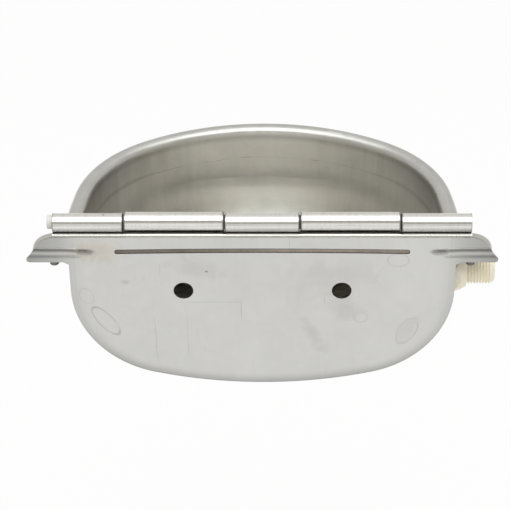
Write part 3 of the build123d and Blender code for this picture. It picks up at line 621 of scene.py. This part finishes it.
# ---- Valve body and water inlet
# Moulded in one piece of natural nylon. The spigot carries a G 1/2 thread, 14 turns to the inch, cut short
# by a rounded end. Inside the bowl the body ends in two cheeks that hold the float arm's pivot.

nylon = Finish("nylon_ivory", Metallic=0.0)
cloud = nylon.noise(60.0, detail=3.0)
fine = nylon.noise(900.0, detail=2.0)
nylon.feed(Base_Color=nylon.tinted((0.97, 0.91, 0.75), 1.0 + (cloud - 0.5) * 0.10 + (fine - 0.5) * 0.04),
           Roughness=0.42 + (fine - 0.5) * 0.1, Normal=nylon.bump(fine, 0.00001, 0.4))


def outline(name, points):
    """A closed profile in X and Z, in mm, drawn point by point from a single vertex."""
    piece = begin(name, bpy.ops.mesh.primitive_plane_add, size=0.001, location=(0.0, 0.0, 0.0))
    bpy.ops.object.mode_set(mode="EDIT")
    bpy.ops.mesh.select_all(action="SELECT")
    bpy.ops.mesh.merge(type="CENTER")
    bpy.ops.transform.translate(value=(points[0][0] / 1000, 0.0, points[0][1] / 1000))
    for before, after in zip(points, points[1:]):
        move = ((after[0] - before[0]) / 1000, 0.0, (after[1] - before[1]) / 1000)
        bpy.ops.mesh.extrude_vertices_move(TRANSFORM_OT_translate={"value": move})
    bpy.ops.mesh.select_all(action="SELECT")
    bpy.ops.mesh.remove_doubles(threshold=0.000001)
    bpy.ops.object.mode_set(mode="OBJECT")
    return piece


def turned(piece, steps=96, pitch=0.0, turns=1):
    """Turn a profile about the X axis, or along a screw if it has a pitch."""
    lathe = piece.modifiers.new("lathe", "SCREW")
    lathe.axis = "X"
    lathe.steps = steps
    lathe.render_steps = steps
    lathe.screw_offset = pitch / 1000
    lathe.iterations = turns
    lathe.use_merge_vertices = pitch == 0.0
    lathe.merge_threshold = 0.000001


inlet_place = (0.0, 0.025, 0.0)
thread_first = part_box("inlet_locknut")[1].x * 1000 + 0.3
thread_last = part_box("valve_body")[1].x * 1000
crest, root_r, pitch = 10.44, 9.32, 1.814

# The core: a plain sleeve at the thread's root, with a rounded outer end.
bore_r = 6.0
core_first = thread_first - 0.2
core = outline("spigot_core", [
    (core_first, bore_r), (thread_last, bore_r), (thread_last, 7.9), (thread_last - 0.25, 8.6),
    (thread_last - 0.8, 9.1), (thread_last - 1.6, root_r), (core_first, root_r), (core_first, bore_r)])
turned(core)
core.location = inlet_place
settle(core)

# The thread: a ridge whose foot is sunk in the core, with flanks at 27.5 degrees and a rounded crest.
sunk = 0.3
flank_slope = 0.52
flank = (crest - root_r + sunk) * flank_slope
base = root_r - sunk
shoulder = crest - 0.08
top_first = thread_first + flank
ridge = outline("spigot_thread", [
    (thread_first, base), (top_first, shoulder), (top_first + 0.09, crest), (top_first + 0.21, crest),
    (top_first + 0.30, shoulder), (thread_first + 2 * flank + 0.30, base), (thread_first, base)])
turned(ridge, steps=72, pitch=pitch, turns=8)
ridge.location = inlet_place
settle(ridge)
bpy.ops.object.mode_set(mode="EDIT")
bpy.ops.mesh.select_all(action="SELECT")
bpy.ops.mesh.fill_holes(sides=8)
bpy.ops.mesh.select_all(action="SELECT")
bpy.ops.mesh.normals_make_consistent(inside=False)
bpy.ops.object.mode_set(mode="OBJECT")

# The rest of the body comes from the CAD, cut off where the thread starts, and the three become one piece.
body = bpy.data.objects.new("inlet_valve_body", nodes["valve_body"].data.copy())
bpy.context.scene.collection.objects.link(body)
bpy.ops.object.select_all(action="DESELECT")
body.select_set(True)
bpy.context.view_layer.objects.active = body
bpy.ops.object.mode_set(mode="EDIT")
bpy.ops.mesh.select_all(action="SELECT")
bpy.ops.mesh.bisect(plane_co=(thread_first / 1000 - 0.0001, 0.0, 0.0), plane_no=(1.0, 0.0, 0.0),
                    use_fill=True, clear_outer=True)
bpy.ops.object.mode_set(mode="OBJECT")
bpy.ops.object.select_all(action="DESELECT")
for piece in (core, ridge, body):
    piece.select_set(True)
bpy.context.view_layer.objects.active = body
bpy.ops.object.join()
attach(body, "bowl")
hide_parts("valve_body")
bpy.ops.object.shade_smooth_by_angle(angle=radians(30))
nylon.cover(body)


# ---- Locknut, outer washer and float arm
# Moulded in the same nylon as the valve body. The hexagonal locknut clamps the bowl's wall between its
# washer and the inner gasket. The arm turns on the valve's pivot pin, and a small nut locks its float.

nylon.cover(nodes["inlet_locknut"], nodes["outer_washer"], nodes["float_arm"], nodes["float_locknut"])
soften = nodes["inlet_locknut"].modifiers.new("soften", "BEVEL")
soften.width = 0.0004
soften.segments = 2
soften.limit_method = "ANGLE"
soften.angle_limit = radians(25)


# ---- Float
# Moulded in white plastic and held on the end of the arm by its nut, under the cover. Its gloss is a
# little uneven.

shell = Finish("float_white", Metallic=0.0)
cloud = shell.noise(50.0, detail=2.0)
shell.feed(Base_Color=shell.tinted((0.80, 0.80, 0.77), 1.0 + (cloud - 0.5) * 0.06),
           Roughness=0.35 + (cloud - 0.5) * 0.1)
shell.cover(nodes["float"])


# ---- Gasket and plunger seal
# Cut from black rubber, matt and lightly dusted. The gasket sits between the valve body and the bowl's
# wall, and the seal is pressed into the plunger's head.

rubber = Finish("rubber_black", Metallic=0.0)
dust = rubber.noise(300.0, detail=2.0)
rubber.feed(Base_Color=rubber.tinted((0.025, 0.025, 0.025), 0.8 + dust * 0.6),
            Roughness=0.6 + (dust - 0.5) * 0.2)
rubber.cover(nodes["inner_gasket"], nodes["plunger_seal"])


# ---- Orifice seat
# A small turned brass nozzle pressed into the valve body's bore. The seal closes against its end.

brass = Finish("brass_turned", Metallic=0.95)
cut = brass.noise(60.0, detail=2.0, stretch=(30.0, 1.0, 1.0))
brass.feed(Base_Color=brass.tinted((0.62, 0.45, 0.18), 1.0 + (cut - 0.5) * 0.2),
           Roughness=0.3 + (cut - 0.5) * 0.2)
brass.cover(nodes["orifice_seat"])


# ---- View
# Colours are shown as they are.

bpy.context.scene.view_settings.view_transform = "Standard"
